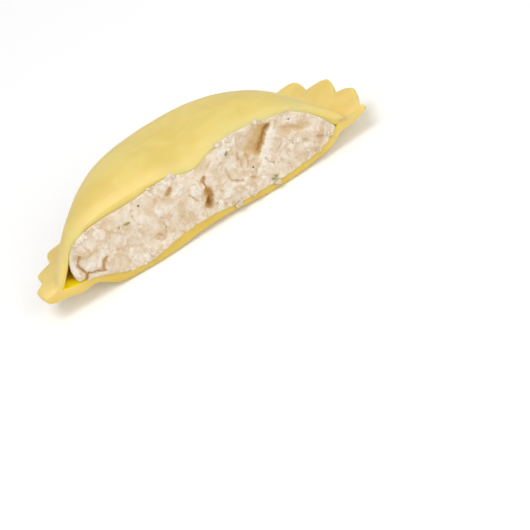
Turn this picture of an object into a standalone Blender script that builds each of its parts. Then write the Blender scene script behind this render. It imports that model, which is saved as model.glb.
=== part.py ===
"""Half of a large round raviolo, cut through its middle and resting on its underside.

Three pieces make it: a rolled bottom sheet of egg dough, a mound of ricotta filling, and a top sheet draped
over the mound. The sheets are pressed together round the mound and stamped out with a fluted ring, which
thins the rim and gives it its teeth. The knife has squeezed the dome down a little along the cut, left a
dent in the middle of it, and opened a small air pocket at the left end, where the filling stops short.

Frame: metres, +Z up. The cut faces -Y and X runs along it. The origin is at the bottom centre of the
bounding box. The shape functions work about the centre of the stamped circle, on the plane of the cut.
"""

import math

import bmesh
import bpy
import numpy as np
from mathutils import Vector, noise

# Driving dimensions, in metres.
TIP_RADIUS = 0.0350  # stamped circle, to the tips of the teeth
TOOTH_DEPTH = 0.0021
# Bearings of the teeth's tips, in degrees round from +X
TIP_BEARINGS = (-5.4, 10.8, 27, 42, 57, 72, 87.5, 103, 118.5, 134.5, 149.5, 163, 173.5, 186.5)
SHEET = 0.00125  # one rolled sheet
RIM_THICKNESS = 0.0017  # both sheets, pressed together
PARTING = 0.0003  # kept between the pieces
CROWN_HEIGHT = 0.0180  # top of the dome above the table
CUT_SQUEEZE = 0.0018  # how far the knife pressed the dome down
DENT_DEPTH = 0.0018  # the dent where the two lumps of filling meet
FOOT_RADIUS = 0.0282  # where the dome meets the rim
RIM_LIFT = 0.0013  # middle of the rim above the table, at the back
RIGHT_END_LIFT = 0.0041  # more than that, where the cut meets the rim
LEFT_END_LIFT = 0.0040
FLAT_SINK = 0.00012  # levels the underside to a flat resting spot
FILLING_RADIUS = 0.0268
FILLING_CLOSE = 0.0006  # thickness of the mound's feathered edge

# Grids: segments along the cut, and rows from the cut (0) to the dome's foot (1) and on to the teeth (2).
SEGMENTS_PER_TOOTH = 6
SHEET_ROWS = (0.0, 0.10, 0.25, 0.42, 0.58, 0.72, 0.84, 0.93, 1.0, 1.3, 1.65, 2.0)
FILLING_SEGMENTS = 42
FILLING_ROWS = (0.0, 0.12, 0.28, 0.46, 0.64, 0.80, 0.92, 1.0)
CUT_FACE_CUTS = 8
PLAN_CORNER = 0.89  # share of the foot's radius at which the grid's corners sit on the cut

PASTA = (0.86, 0.67, 0.26)
FILLING = (0.82, 0.70, 0.55)


def bell(distance, width):
    """1 at no distance, falling off smoothly over the width."""
    return np.exp(-np.square(distance / width))


def soft_positive(value, softness):
    """The value where it is positive and nothing where it isn't, with a rounded corner."""
    return 0.5 * (value + np.sqrt(value * value + softness * softness))


def angles(bearing):
    """Degrees round from the right end of the cut, and from the left end."""
    from_right = np.degrees(bearing)
    return from_right, 180.0 - from_right


def tooth_phase(bearing):
    """Teeth counted from the one beyond the right end of the cut, whole at the tips."""
    return np.interp(np.degrees(bearing), TIP_BEARINGS, range(len(TIP_BEARINGS)))


def outline_radius(bearing):
    """Radius of the fluted edge: rounded scallops with sharp notches, shallower at the ends of the cut."""
    phase = tooth_phase(bearing)
    right, left = angles(bearing)
    triangle = 1.0 - 2.0 * np.abs(phase - np.round(phase))
    scallop = np.abs(np.cos(math.pi * phase))
    shallow = 0.45 * bell(right, 7.0) + 0.40 * bell(left, 25.0) - 0.1 * np.sin(5 * bearing)
    depth = TOOTH_DEPTH * (1.0 - shallow) + 0.00035 * bell(right - 32.0, 20.0)
    reach = TIP_RADIUS + 0.0003 * bell(left, 30.0) + 0.0007 * bell(right - 30.0, 24.0)
    return reach - depth * (1.0 - 0.35 * triangle - 0.65 * scallop)


def foot_radius(bearing):
    """Radius at which the dome meets the rim; it runs out wider where the knife has spread the ends."""
    right, left = angles(bearing)
    spread = 0.0021 * bell(right, 9.0) + 0.0026 * bell(left, 16.0) + 0.0009 * bell(left - 45.0, 25.0)
    return FOOT_RADIUS + spread + 0.0003 * np.sin(3 * bearing)


def rim_top(radius, bearing):
    """Upper side of the rim: low at the back, lifted at both ends of the cut, curling up at the right."""
    right, left = angles(bearing)
    middle = RIM_LIFT + RIGHT_END_LIFT * bell(right, 46.0) + LEFT_END_LIFT * bell(left, 36.0)
    foot = foot_radius(bearing)
    along = np.clip((radius - foot) / (TIP_RADIUS - foot), 0.0, 1.0)
    curl = 0.0004 + 0.0010 * bell(right, 40.0) - 0.0008 * bell(left, 35.0)
    return middle + 0.5 * RIM_THICKNESS + curl * (along**1.5 - 1.0)


def dome_share(radius, foot, power, softness):
    """1 over the middle of the dome and 0 on the rim, with a rounded crease at the foot."""
    inside = 1.0 - (radius / foot) ** power
    return soft_positive(inside, softness) / soft_positive(1.0, softness)


def crown(x, y):
    """Height of the dome itself: squeezed down at the cut, dented in the middle, lower to the right."""
    height = CROWN_HEIGHT - CUT_SQUEEZE * bell(y, 0.004)
    height = height - DENT_DEPTH * bell(x - 0.0006, 0.0036) * bell(y, 0.012)
    height = height - 0.0005 * bell(x + 0.0015, 0.009) * (1.0 - bell(y, 0.009))
    return height - 0.038 * x - 0.7 * x * x


def upper_side(x, y):
    """Outer side of the top sheet."""
    radius, bearing = np.hypot(x, y), np.arctan2(np.abs(y), x)
    share = dome_share(radius, foot_radius(bearing), 5.5, 0.09)
    return rim_top(radius, bearing) * (1.0 - share) + crown(x, y) * share


def under_side(x, y):
    """Outer side of the bottom sheet: a bowl with a flat spot, arched at the cut, shelving at the left."""
    radius, bearing = np.hypot(x, y), np.arctan2(np.abs(y), x)
    foot = foot_radius(bearing) - 0.0008 - 0.0009 * bell(angles(bearing)[0], 20.0)
    share = dome_share(radius, foot, 5.0, 0.10)
    bowl = (rim_top(radius, bearing) - RIM_THICKNESS) * (1.0 - share)
    arch = 0.0009 * bell(x - 0.0005, 0.009) * bell(y, 0.004)
    shelf = 0.0016 * bell(x + 0.0247, 0.0030) * bell(y, 0.006)
    return np.maximum(bowl + arch + shelf - FLAT_SINK, 0.0)


def steepness(side, x, y):
    """Slant length over level length, which keeps a sheet's thickness on the dome's steep flank."""
    step = 0.0002
    slope_x = (side(x + step, y) - side(x - step, y)) / (2 * step)
    slope_y = (side(x, y + step) - side(x, np.abs(y - step))) / (2 * step)
    return np.minimum(np.sqrt(1.0 + slope_x**2 + slope_y**2), 2.2)


def parting_height(x, y):
    """The surface on which the two sheets meet."""
    return 0.5 * (upper_side(x, y) + under_side(x, y))


def upper_sheet_inside(x, y):
    """Inner side of the top sheet; on the rim it stops at the parting."""
    full = upper_side(x, y) - SHEET * steepness(upper_side, x, y)
    parting = parting_height(x, y) + 0.5 * PARTING
    return parting + soft_positive(full - parting, 0.0002)


def under_sheet_inside(x, y):
    """Inner side of the bottom sheet; on the rim it stops at the parting."""
    full = under_side(x, y) + SHEET * steepness(under_side, x, y)
    parting = parting_height(x, y) - 0.5 * PARTING
    return parting - soft_positive(parting - full, 0.0002)


def plan_point(across, back, foot, edge):
    """A point of the half circle. Across runs from the left end to the right; back is a row's number."""
    first, last = tooth_phase(0.0), tooth_phase(math.pi)
    phase = last + (first - last) * across
    bearing = math.radians(np.interp(phase, range(len(TIP_BEARINGS)), TIP_BEARINGS))
    inner = foot(bearing)
    if back > 1.0:
        radius = inner + (edge(bearing) - inner) * (back - 1.0)
        return radius * math.cos(bearing), radius * max(math.sin(bearing), 0.0)
    start = PLAN_CORNER * (2.0 * across - 1.0) * foot(0.0 if across > 0.5 else math.pi)
    x = start + (inner * math.cos(bearing) - start) * back**1.5
    return x, inner * max(math.sin(bearing), 0.0) * back


def plan_grid(segments, rows, foot, edge=None):
    """A flat half circle as a bmesh grid, with a column on every tip and in every notch."""
    grid = bmesh.new()
    bmesh.ops.create_grid(grid, x_segments=segments, y_segments=len(rows) - 1, size=0.5)
    for vertex in grid.verts:
        row = rows[round((vertex.co.y + 0.5) * (len(rows) - 1))]
        x, y = plan_point(vertex.co.x + 0.5, row, foot, edge)
        vertex.co = Vector((x, y, 0.0))
    return grid


def thickened(grid, upper, lower):
    """Drapes the grid over the upper side, extrudes it, and drops the copy to the lower side."""
    made = bmesh.ops.extrude_face_region(grid, geom=grid.faces[:], use_keep_orig=True)
    below = {item for item in made["geom"] if isinstance(item, bmesh.types.BMVert)}
    for vertex in grid.verts:
        side = lower if vertex in below else upper
        vertex.co.z = float(side(vertex.co.x, vertex.co.y))
    bmesh.ops.recalc_face_normals(grid, faces=grid.faces[:])
    return grid


def mound_space(x, y):
    """Heights of the filling's top and underside, kept clear of the sheets."""
    top = upper_sheet_inside(x, y) - PARTING
    bottom = under_sheet_inside(x, y) + PARTING
    return top, bottom


def mound_side(sign):
    """The mound's upper (+1) or under (-1) side: it fills the pocket and feathers out at its edge."""

    def side(x, y):
        top, bottom = mound_space(x, y)
        radius, bearing = math.hypot(x, y), math.atan2(abs(y), x)
        share = min(radius / filling_radius(bearing), 1.0)
        thickness = FILLING_CLOSE + (top - bottom - FILLING_CLOSE) * math.sqrt(1.0 - share**9)
        middle = 0.5 * (top + bottom)
        return middle + sign * 0.5 * thickness

    return side


def filling_radius(bearing):
    """The mound's edge: wavy behind, and filling the pocket right up to the rim at the right end."""
    right, left = angles(bearing)
    reach = 0.0017 * bell(right, 12.0) + 0.0005 * bell(left, 14.0)
    return FILLING_RADIUS + reach - 0.0004 * math.sin(5 * bearing + 0.7) * math.sin(bearing)


def cut_relief(x, z):
    """How far the torn filling stands out of the plane of the cut (+) or has crumbled away (-)."""
    curds = noise.noise(Vector((x, 0.0, z)) * 420.0) + 0.6 * noise.noise(Vector((x, 7.0, z)) * 900.0)
    crack = 0.0016 * bell(x - 0.0013 - 0.15 * (z - 0.007), 0.0008) * bell(z - 0.0065, 0.0028)
    tear = 0.0014 * bell(x - 0.0155 - 0.9 * (z - 0.0105), 0.0010) * bell(z - 0.0105, 0.0024)
    return 0.00035 * float(curds) - float(crack + tear)


def roughen_cut(grid, upper, lower):
    """Splits the filling's cut face into rows and pushes their vertices in and out."""
    uprights = [edge for edge in grid.edges if is_cut_upright(edge)]
    made = bmesh.ops.subdivide_edges(grid, edges=uprights, cuts=CUT_FACE_CUTS, use_grid_fill=True)
    fresh = [item for item in made["geom_inner"] if isinstance(item, bmesh.types.BMVert)]
    for vertex in fresh:
        top, bottom = upper(vertex.co.x, 0.0), lower(vertex.co.x, 0.0)
        height = min(max((vertex.co.z - bottom) / (top - bottom), 0.0), 1.0)
        vertex.co.y = -cut_relief(vertex.co.x, vertex.co.z) * (4.0 * height * (1.0 - height)) ** 0.5
    return grid


def is_cut_upright(edge):
    """True for an edge that stands on the plane of the cut."""
    start, end = (vertex.co for vertex in edge.verts)
    level = math.hypot(start.x - end.x, start.y - end.y)
    return level < 1e-7 and abs(start.y) < 1e-7 and abs(start.z - end.z) > 1e-5


def food(name, colour, roughness, subsurface):
    """A matt, slightly translucent material."""
    material = bpy.data.materials.new(name)
    material.use_nodes = True
    shader = material.node_tree.nodes["Principled BSDF"]
    shader.inputs["Base Color"].default_value = (*colour, 1.0)
    shader.inputs["Roughness"].default_value = roughness
    shader.inputs["Metallic"].default_value = 0.0
    shader.inputs["Subsurface Weight"].default_value = subsurface
    return material


def piece(name, grid, material):
    """Turns a bmesh into an object of the scene."""
    mesh = bpy.data.meshes.new(name)
    grid.to_mesh(mesh)
    grid.free()
    mesh.materials.append(material)
    mesh.shade_smooth()
    mesh.set_sharp_from_angle(angle=math.radians(40))
    made = bpy.data.objects.new(name, mesh)
    bpy.context.scene.collection.objects.link(made)
    return made


def centre_on_base(pieces):
    """Moves the pieces so that the origin is at the bottom centre of their box."""
    corners = [Vector(corner) for made in pieces for corner in made.bound_box]
    low = Vector([min(corner[axis] for corner in corners) for axis in range(3)])
    high = Vector([max(corner[axis] for corner in corners) for axis in range(3)])
    shift = Vector((-(low.x + high.x) / 2, -(low.y + high.y) / 2, -low.z))
    for made in pieces:
        made.location = shift


def main():
    for leftover in list(bpy.data.objects):
        bpy.data.objects.remove(leftover, do_unlink=True)

    dough = food("egg_pasta", PASTA, 0.55, 0.15)
    cheese = food("ricotta_filling", FILLING, 0.75, 0.25)
    teeth = tooth_phase(math.pi) - tooth_phase(0.0)
    sheet = (round(teeth * SEGMENTS_PER_TOOTH), SHEET_ROWS, foot_radius, outline_radius)

    top = thickened(plan_grid(*sheet), upper_side, upper_sheet_inside)
    bottom = thickened(plan_grid(*sheet), under_sheet_inside, under_side)
    over, below = mound_side(1), mound_side(-1)
    mound = thickened(plan_grid(FILLING_SEGMENTS, FILLING_ROWS, filling_radius), over, below)
    mound = roughen_cut(mound, over, below)

    centre_on_base(
        [
            piece("top_sheet", top, dough),
            piece("bottom_sheet", bottom, dough),
            piece("filling", mound, cheese),
        ]
    )


main()
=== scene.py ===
# %% [markdown]
# # Half of a large round raviolo
# The piece is one half of a stuffed pasta round, cut through its middle. Two sheets of egg dough hold a mound
# of ricotta. The sheets are pressed into one round the mound and stamped out with a fluted ring, and the
# knife has left a soft dent in the dome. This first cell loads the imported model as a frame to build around.
# It has three plain solids: the top sheet, the bottom sheet and the filling.

# %% Load the frame
import math

import bmesh
import bpy
import numpy as np
from mathutils import Matrix, Vector


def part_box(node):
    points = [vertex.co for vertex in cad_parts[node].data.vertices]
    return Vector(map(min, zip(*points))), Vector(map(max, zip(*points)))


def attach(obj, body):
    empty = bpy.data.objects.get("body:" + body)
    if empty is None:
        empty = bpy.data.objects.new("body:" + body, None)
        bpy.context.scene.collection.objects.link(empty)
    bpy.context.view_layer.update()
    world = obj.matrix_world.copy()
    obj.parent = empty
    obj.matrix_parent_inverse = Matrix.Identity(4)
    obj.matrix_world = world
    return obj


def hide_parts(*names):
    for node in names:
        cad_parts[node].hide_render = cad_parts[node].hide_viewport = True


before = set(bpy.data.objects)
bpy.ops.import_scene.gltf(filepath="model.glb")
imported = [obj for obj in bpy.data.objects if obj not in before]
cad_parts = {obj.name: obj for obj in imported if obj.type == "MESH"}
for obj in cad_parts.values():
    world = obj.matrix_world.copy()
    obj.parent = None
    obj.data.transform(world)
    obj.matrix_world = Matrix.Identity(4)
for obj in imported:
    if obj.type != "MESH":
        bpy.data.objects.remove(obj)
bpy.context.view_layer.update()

print("nodes:", sorted(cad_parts))

# %% [markdown]
# ## Sizes
# The shapes are worked out in millimetres, about the centre of the stamped circle on the plane of the cut,
# because that is how a maker would measure a raviolo. X runs along the cut, Y goes back from it, Z is up.
# Only the last step, `place`, turns them into metres at the piece's place in the frame.

# %% Sizes in millimetres
MM = 0.001
TIP_RADIUS = 35.0  # stamped circle, to the tips of the teeth
TOOTH_DEPTH = 2.1
TIP_BEARINGS = (-5.4, 10.8, 27, 42, 57, 72, 87.5, 103, 118.5, 134.5, 149.5, 163, 173.5, 186.5)
SHEET = 1.25  # one rolled sheet
RIM_THICKNESS = 1.7  # both sheets, pressed together
CROWN_HEIGHT = 18.0
CUT_SQUEEZE = 1.8
DENT_DEPTH = 1.8
FOOT_RADIUS = 28.2  # where the dome meets the rim
RIM_LIFT = 1.3
RIGHT_END_LIFT = 4.1
LEFT_END_LIFT = 4.0
FLAT_SINK = 0.12
PLAN_CORNER = 0.89
CUT_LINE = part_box("top_sheet")[0].y / MM  # the plane of the cut in the frame


def bell(distance, width):
    """1 at no distance, falling off as exp(-(distance / width) squared)."""
    return np.exp(-np.square(distance / width))


def soft_positive(value, softness):
    """Half of value + sqrt(value squared + softness squared): the value itself where it is well above 0."""
    return 0.5 * (value + np.sqrt(value * value + softness * softness))


# %% [markdown]
# ## Noise
# Dough and cheese are never quite even. Both need random numbers that are smooth in space and the same on
# every run. A lattice of whole-number cells, each with its own number from a hash, gives that: blending the
# eight corners of a cell is smooth noise, and the distance to the nearest random point of the cells around is
# a pattern of lumps. Both are whole-array sums, so a hundred thousand points take a moment.


# %% Noise functions
def cell_number(cells, seed):
    """A repeatable random number from 0 to 1 for each whole-number cell: a hash of its three indices."""
    mixed = np.full(cells.shape[:-1], (seed * 0x9E3779B1) & 0xFFFFFFFF, dtype=np.uint64)
    for axis, prime in enumerate((0x85EBCA6B, 0xC2B2AE35, 0x27D4EB2F)):
        mixed = ((mixed ^ (cells[..., axis].astype(np.int64) & 0xFFFFFFFF).astype(np.uint64)) * prime) & 0xFFFFFFFF
        mixed ^= mixed >> 15
    return (mixed & 0xFFFFFF) / 0x1000000


def noise(x, y, z=0.0, seed=0):
    """Smooth noise from -1 to 1: the corners of each unit cell, blended by 6t^5 - 15t^4 + 10t^3."""
    point = np.stack(np.broadcast_arrays(x, y, z), axis=-1).astype(float)
    corner = np.floor(point)
    part = point - corner
    part = part**3 * (part * (part * 6.0 - 15.0) + 10.0)
    total = np.zeros(point.shape[:-1])
    for step in np.ndindex(2, 2, 2):
        weight = np.prod(np.where(np.array(step) == 1, part, 1.0 - part), axis=-1)
        total += weight * cell_number(corner + np.array(step), seed)
    return 2.0 * total - 1.0


def layered_noise(x, y, z=0.0, layers=4, seed=0):
    """Noise plus half as much noise at half the size, and so on."""
    return sum(noise(x * 2**k, y * 2**k, z * 2**k, seed + k) / 2**k for k in range(layers))


def lumps(x, y, seed=0):
    """Round lumps, one a unit cell: 1 at a lump's middle, 0 between lumps, and a random number for each."""
    point = np.stack(np.broadcast_arrays(x, y, np.zeros_like(x)), axis=-1).astype(float)
    corner = np.floor(point)
    nearest = np.full(point.shape[:-1], 9.0)
    owner = np.zeros(point.shape[:-1])
    for step in np.ndindex(3, 3):
        cell = corner + np.array([step[0] - 1, step[1] - 1, 0])
        middle_x = cell[..., 0] + cell_number(cell, seed)
        middle_y = cell[..., 1] + cell_number(cell, seed + 1)
        distance = np.hypot(point[..., 0] - middle_x, point[..., 1] - middle_y)
        closer = distance < nearest
        owner = np.where(closer, cell_number(cell, seed + 2), owner)
        nearest = np.where(closer, distance, nearest)
    return np.maximum(1.0 - nearest**2 / 0.9, 0.0), owner


print("noise at three points:", np.round(noise(np.array([0.2, 1.4, 2.9]), 0.5, seed=3), 3))

# %% [markdown]
# ## The shape of the two sheets
# A raviolo's outside is two height fields. On the rim both follow one gently lifted ring, a rim's thickness
# apart. Inside the foot of the dome the upper one rises to the crown and the lower one sinks to the table.
# `dome_share` says how much of each a point has: 1 - (radius / foot radius)^5 or so, which is flat on top and steep
# at the side, as dough pulled over a mound is.


# %% Outline and rim
def angles(bearing):
    """Degrees round from the right end of the cut, and from the left end."""
    from_right = np.degrees(bearing)
    return from_right, 180.0 - from_right


def tooth_phase(bearing):
    """Teeth counted from the one beyond the right end of the cut, whole at the tips."""
    return np.interp(np.degrees(bearing), TIP_BEARINGS, range(len(TIP_BEARINGS)))


def outline_radius(bearing):
    """The circle less a tooth's depth times 1 - (0.35 of a triangle wave + 0.65 of |cos|): rounded scallops."""
    phase = tooth_phase(bearing)
    right, left = angles(bearing)
    triangle = 1.0 - 2.0 * np.abs(phase - np.round(phase))
    scallop = np.abs(np.cos(math.pi * phase))
    shallow = 0.45 * bell(right, 7.0) + 0.40 * bell(left, 25.0) - 0.1 * np.sin(5 * bearing)
    depth = TOOTH_DEPTH * (1.0 - shallow) + 0.35 * bell(right - 32.0, 20.0)
    return TIP_RADIUS + 0.3 * bell(left, 30.0) + 0.7 * bell(right - 30.0, 24.0) - depth * (1.0 - 0.35 * triangle - 0.65 * scallop)


def foot_radius(bearing):
    """Where the dome meets the rim; it runs out wider where the knife has spread the ends."""
    right, left = angles(bearing)
    spread = 2.1 * bell(right, 9.0) + 2.6 * bell(left, 16.0) + 0.9 * bell(left - 45.0, 25.0)
    return FOOT_RADIUS + spread + 0.3 * np.sin(3 * bearing)


def rim_top(radius, bearing):
    """Upper side of the rim: low at the back, lifted at both ends of the cut, curling up at the right."""
    right, left = angles(bearing)
    middle = RIM_LIFT + RIGHT_END_LIFT * bell(right, 46.0) + LEFT_END_LIFT * bell(left, 36.0)
    foot = foot_radius(bearing)
    along = np.clip((radius - foot) / (TIP_RADIUS - foot), 0.0, 1.0)
    curl = 0.4 + 1.0 * bell(right, 40.0) - 0.8 * bell(left, 35.0)
    ripple = 0.16 * along**2 * np.sin(2 * math.pi * tooth_phase(bearing) + 1.0)
    return middle + 0.5 * RIM_THICKNESS + curl * (along**1.5 - 1.0) + ripple


bearings = np.linspace(0.0, math.pi, 3001)
outline_x = outline_radius(bearings) * np.cos(bearings)
CENTRE_X = -0.5 * (outline_x.min() + outline_x.max())
print("outline spans", round(float(outline_x.max() - outline_x.min()), 2), "mm")


# %% Upper and under side
def dome_share(radius, foot, power, softness):
    """1 - (radius / foot)^power where positive, with a rounded crease at the foot."""
    return soft_positive(1.0 - (radius / foot) ** power, softness) / soft_positive(1.0, softness)


def crown(x, y):
    """Height of the dome: squeezed down at the cut, dented in the middle, lower to the right, faintly uneven."""
    height = CROWN_HEIGHT - CUT_SQUEEZE * bell(y, 4.0)
    height = height - DENT_DEPTH * bell(x - 0.6, 3.8) * bell(y, 10.0)
    height = height - 0.5 * bell(x + 1.5, 9.0) * (1.0 - bell(y, 9.0))
    uneven = 0.11 * layered_noise(x / 9.0, y / 9.0, layers=3, seed=11)
    return height - 0.038 * x - 0.0007 * x * x + uneven


def upper_side(x, y):
    """Outer side of the top sheet: the rim and the crown, mixed by the dome's share."""
    radius, bearing = np.hypot(x, y), np.arctan2(np.abs(y), x)
    foot = foot_radius(bearing)
    share = dome_share(radius, foot, 5.5, 0.09)
    press = 0.42 * bell(radius - foot - 0.5, 0.7) - 0.14 * bell(radius - foot + 1.1, 0.8)
    press = press * (0.35 + 0.65 * bell(angles(bearing)[0], 50.0))
    return rim_top(radius, bearing) * (1.0 - share) + crown(x, y) * share - press


# How much lower the underside is drawn down, or up, right at the cut, x: z
UNDER_AT_CUT = {
    -35.2: 1.1, -34.5: 0.6, -33.5: 0.0, -32.5: -0.6, -30.8: -0.8, -29.6: -0.8, -28.6: -0.7, -27.0: -0.6,
    -24.9: -0.2, -24.2: 0.0, -22.8: 0.0, -21.2: -0.3, -19.4: -0.2, -17.0: 0.0, 22.0: 0.0, 24.0: -0.2,
    25.4: -0.2, 27.0: 0.0, 27.7: 0.2, 31.1: 0.3, 34.0: 0.2, 35.0: 0.5,
}  # fmt: skip


def under_side(x, y):
    """Outer side of the bottom sheet: a bowl with a flat spot, arched at the cut, shelving at the left."""
    radius, bearing = np.hypot(x, y), np.arctan2(np.abs(y), x)
    foot = foot_radius(bearing) - 0.8 - 0.9 * bell(angles(bearing)[0], 20.0)
    bowl = (rim_top(radius, bearing) - RIM_THICKNESS) * (1.0 - dome_share(radius, foot, 5.0, 0.10))
    arch = 0.9 * bell(x - 0.5, 9.0) * bell(y, 4.0)
    shelf = 1.6 * bell(x + 24.7, 3.0) * bell(y, 6.0)
    drawn = np.interp(x, list(UNDER_AT_CUT), list(UNDER_AT_CUT.values())) * bell(y, 4.0)
    return np.maximum(bowl + arch + shelf + drawn - FLAT_SINK, 0.0)


def steepness(side, x, y):
    """Slant length over level length, sqrt(1 + slope squared), so that a steep sheet keeps its thickness."""
    step = 0.2
    slope_x = (side(x + step, y) - side(x - step, y)) / (2 * step)
    slope_y = (side(x, y + step) - side(x, np.abs(y - step))) / (2 * step)
    return np.minimum(np.sqrt(1.0 + slope_x**2 + slope_y**2), 2.2)


# Heights at which the filling meets the dough on the cut, x: z. The knife drew the dough out here, so it is
# thicker at the cut than behind it.
CEILING_AT_CUT = {
    -30.2: 5.9, -29.0: 7.4, -27.5: 9.1, -26.5: 10.6, -25.5: 11.9, -24.0: 13.0, -22.0: 13.7, -20.0: 14.0,
    -17.5: 14.2, -15.0: 14.1, -12.5: 14.0, -10.0: 14.0, -7.5: 14.3, -5.0: 14.5, -2.5: 14.2, 0.0: 13.1,
    2.0: 12.8, 4.0: 13.5, 6.0: 14.4, 8.0: 14.9, 10.0: 15.0, 12.0: 14.9, 14.0: 14.6, 16.0: 14.2, 18.0: 13.7,
    20.0: 13.3, 22.0: 12.6, 23.5: 11.5, 24.5: 10.5, 25.5: 9.4, 26.4: 7.9, 27.1: 6.5, 27.6: 5.5, 27.9: 4.9,
}  # fmt: skip
FLOOR_AT_CUT = {
    -30.2: 5.9, -29.0: 5.4, -27.5: 5.15, -25.0: 4.95, -24.0: 4.75, -23.0: 4.45, -22.0: 4.0, -21.0: 3.5,
    -20.0: 3.0, -19.0: 2.45, -17.5: 1.9, -15.0: 1.55, -13.0: 1.6, -10.0: 2.2, -7.5: 2.6, -5.0: 2.8, -2.5: 2.9,
    0.0: 2.9, 2.5: 2.6, 5.0: 2.1, 8.0: 2.0, 12.0: 1.9, 16.0: 1.8, 18.0: 1.9, 20.0: 2.0, 22.0: 2.3, 24.0: 2.9,
    26.0: 3.4, 27.0: 3.9, 27.6: 4.4, 27.9: 4.9,
}  # fmt: skip


def smooth_line(table):
    """The table's points joined by straight lines every 0.1 mm, each then averaged over a bell 0.6 mm wide."""
    steps = np.arange(-40.0, 40.05, 0.1)
    line = np.interp(steps, list(table), list(table.values()))
    kernel = bell(np.arange(-1.5, 1.55, 0.1), 0.6)
    padded = np.pad(line, 15, mode="edge")
    return steps, np.convolve(padded, kernel / kernel.sum(), mode="valid")


CEILING_LINE, FLOOR_LINE = smooth_line(CEILING_AT_CUT), smooth_line(FLOOR_AT_CUT)


def plain_pocket(x, y):
    """Ceiling and floor of the pocket if both sheets were one thickness everywhere."""
    ceiling = upper_side(x, y) - SHEET * steepness(upper_side, x, y)
    return ceiling, under_side(x, y) + SHEET * steepness(under_side, x, y)


def pocket(x, y):
    """Middle height and half height of the pocket between the sheets; the half height is 0 where they meet."""
    ceiling, floor = plain_pocket(x, y)
    at_cut = plain_pocket(x, np.zeros_like(x + y))
    near = bell(y, 3.5)
    ceiling = ceiling + near * (np.interp(x, *CEILING_LINE) - at_cut[0])
    floor = floor + near * (np.interp(x, *FLOOR_LINE) - at_cut[1])
    ceiling = np.minimum(ceiling, upper_side(x, y) - 0.6)
    floor = np.maximum(floor, under_side(x, y) + 0.6)
    shut = 1.0 - bell(x + 31.0, 3.2) * (1.0 - bell(y, 1.1))
    return 0.5 * (ceiling + floor), 0.5 * (ceiling - floor) * shut


def meeting_radius(bearing):
    """Where the pocket's half height falls to nothing, found by sampling outwards along each bearing."""
    reach = np.linspace(24.0, 33.0, 181)
    radius, angle = np.meshgrid(reach, bearing)
    open_height = pocket(radius * np.cos(angle), radius * np.sin(angle))[1]
    shut = np.argmax(open_height < 0.06, axis=1)
    return reach[shut]


print("sheets meet at radius", meeting_radius(np.radians([0.5, 90.0, 179.5])), "mm, right, back and left")

# %% [markdown]
# ## From arrays to meshes
# A surface is a grid of points. `place` turns the grid's millimetres into the frame's metres, and
# `make_piece` writes points and faces into a mesh, turns the faces outwards and shades them smooth.


# %% Mesh helpers
def place(x, y, z):
    """Points in millimetres about the circle's centre, as rows of metres in the frame."""
    spread = np.stack(np.broadcast_arrays(x + CENTRE_X, y + CUT_LINE, z), axis=-1)
    return MM * spread.reshape(-1, 3)


def grid_faces(index):
    """Quads between neighbouring rows and columns of a grid of vertex numbers."""
    quads = np.stack([index[:-1, :-1], index[1:, :-1], index[1:, 1:], index[:-1, 1:]], axis=-1)
    return quads.reshape(-1, 4)


def make_piece(name, points, faces, material, shares=None):
    """A closed, smooth-shaded mesh object; shares are named numbers held by its vertices."""
    mesh = bpy.data.meshes.new(name)
    mesh.from_pydata(points.tolist(), [], faces.tolist() if isinstance(faces, np.ndarray) else faces)
    for share_name, values in (shares or {}).items():
        layer = mesh.attributes.new(share_name, "FLOAT", "POINT")
        layer.data.foreach_set("value", np.asarray(values, dtype=np.float32).ravel())
    work = bmesh.new()
    work.from_mesh(mesh)
    bmesh.ops.recalc_face_normals(work, faces=work.faces[:])
    open_edges = sum(1 for edge in work.edges if not edge.is_manifold)
    work.to_mesh(mesh)
    work.free()
    mesh.shade_smooth()
    mesh.materials.append(material)
    made = bpy.data.objects.new(name, mesh)
    bpy.context.scene.collection.objects.link(made)
    print(f"{name}: {len(mesh.vertices)} points, {len(mesh.polygons)} faces, {open_edges} open edges")
    return made


# %% [markdown]
# ## Materials
# Egg dough is a matt, slightly see-through yellow: some subsurface scattering, a roughness of about a half and
# no metal. What makes it look like food is variation: paler and deeper yellow in soft patches, a fine grain
# from the flour, faint specks and a dusting of flour at the foot of the dome. Light is painted into it too: a
# painted highlight along the ridge at the cut, painted shade on the lower band and a painted glow inside the
# pocket. Ricotta is near white on its curds, with painted shade in its hollows and painted light and shade on
# the relief of its curds, and it scatters more light. Both share the grain and the specks, so those are
# two node groups, built once. The patterns read Object coordinates, so they stay put on the piece.


# %% Node helpers and the two shared groups
class Nodes:
    """A short way to write a node tree: `add` makes a node and links or sets its inputs."""

    def __init__(self, tree):
        self.tree = tree
        tree.nodes.clear()

    def add(self, kind, settings=None, **inputs):
        node = self.tree.nodes.new(kind)
        for key, value in (settings or {}).items():
            setattr(node, key, value)
        for key, value in inputs.items():
            name = key.replace("_", " ")
            socket = node.inputs[int(key[1:])] if key[0] == "i" and key[1:].isdigit() else node.inputs[name]
            if isinstance(value, bpy.types.NodeSocket):
                self.tree.links.new(value, socket)
            else:
                socket.default_value = value
        return node

    def math(self, operation, first, second=0.0):
        return self.add("ShaderNodeMath", {"operation": operation}, i0=first, i1=second).outputs[0]

    def span(self, value, low, high, to_low=0.0, to_high=1.0):
        node = self.add("ShaderNodeMapRange", {"clamp": True, "interpolation_type": "SMOOTHSTEP"}, i0=value)
        for index, number in enumerate((low, high, to_low, to_high)):
            node.inputs[index + 1].default_value = number
        return node.outputs[0]

    def mix(self, share, first, second):
        node = self.tree.nodes.new("ShaderNodeMix")
        node.data_type = "RGBA"
        for socket, value in ((node.inputs[0], share), (node.inputs[6], first), (node.inputs[7], second)):
            if isinstance(value, bpy.types.NodeSocket):
                self.tree.links.new(value, socket)
            else:
                socket.default_value = value
        return node.outputs[2]


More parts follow.
